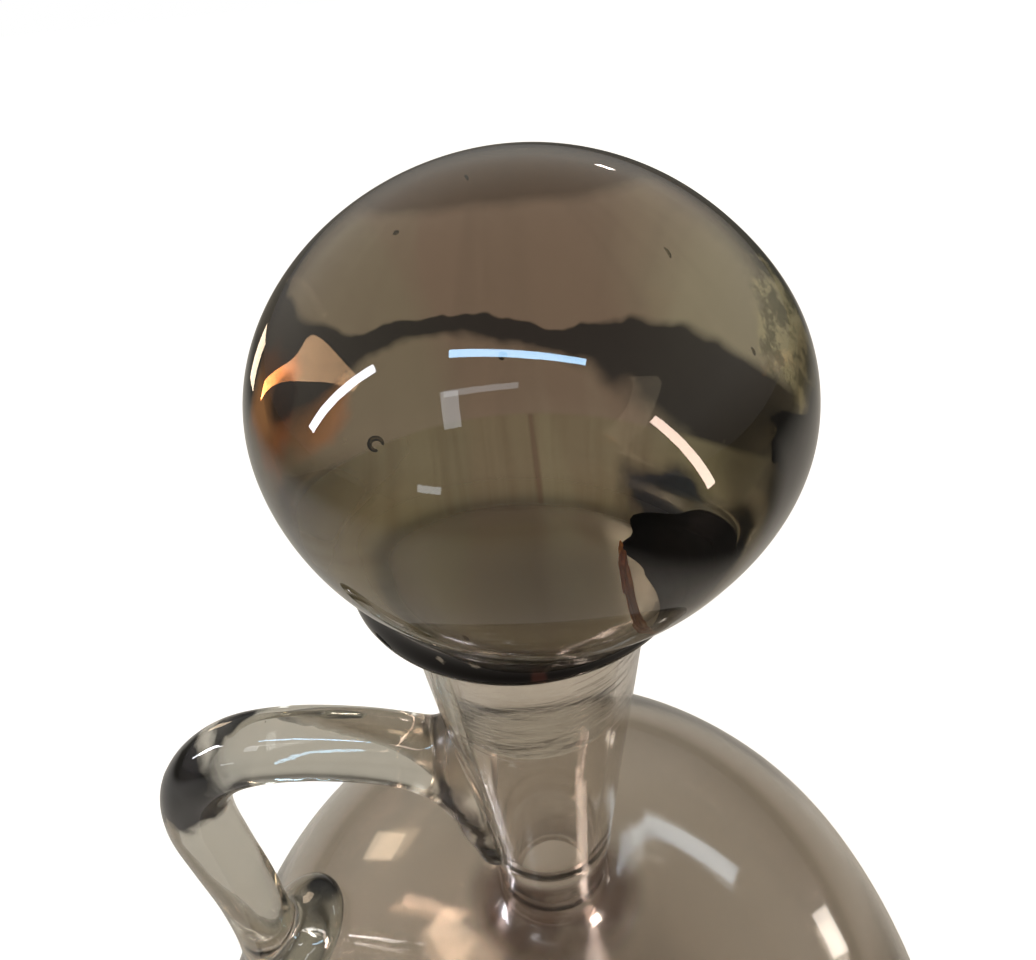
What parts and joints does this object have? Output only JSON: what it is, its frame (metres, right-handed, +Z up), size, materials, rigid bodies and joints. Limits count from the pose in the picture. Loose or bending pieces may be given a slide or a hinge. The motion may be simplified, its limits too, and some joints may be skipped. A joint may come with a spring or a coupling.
{
  "type": "stoppered globe flask",
  "caption": "Round glass flask with a tapered neck, an applied rod handle and an oversized smoky ball stopper that lifts out.",
  "frame": {"origin": "on the neck's axis in the plane the flask stands on", "axes": "+Z up along the neck, -X towards the handle, +Y to the back"},
  "size_m": [0.172, 0.172, 0.2746],
  "materials": {
    "body_glass": "clear pale smoke glass, fire polished",
    "handle_glass": "clear solid glass rod, fire polished",
    "ground_glass": "ground glass with fine turning marks",
    "collar_glass": "very dark brown glass",
    "smoky_glass": "smoky brown solid glass with seeds"
  },
  "bodies": {
    "flask": {"globe": "body_glass", "neck_seam": "body_glass", "neck": "body_glass", "handle_rod": "handle_glass", "upper_handle_pad": "handle_glass", "lower_handle_pad": "handle_glass"},
    "plug": {"stopper_plug": "ground_glass"},
    "knob": {"stopper_collar": "collar_glass", "stopper_ball": "smoky_glass"}
  },
  "joints": [
    {"name": "stopper_lift", "type": "slide", "parent": "flask", "child": "plug", "axis": [0, 0, 1], "range_m": [0, 0.04]},
    {"name": "stopper_twist", "type": "hinge", "parent": "plug", "child": "knob", "pos_m": [0, 0, 0.2259], "axis": [0, 0, 1], "continuous": true}
  ]
}
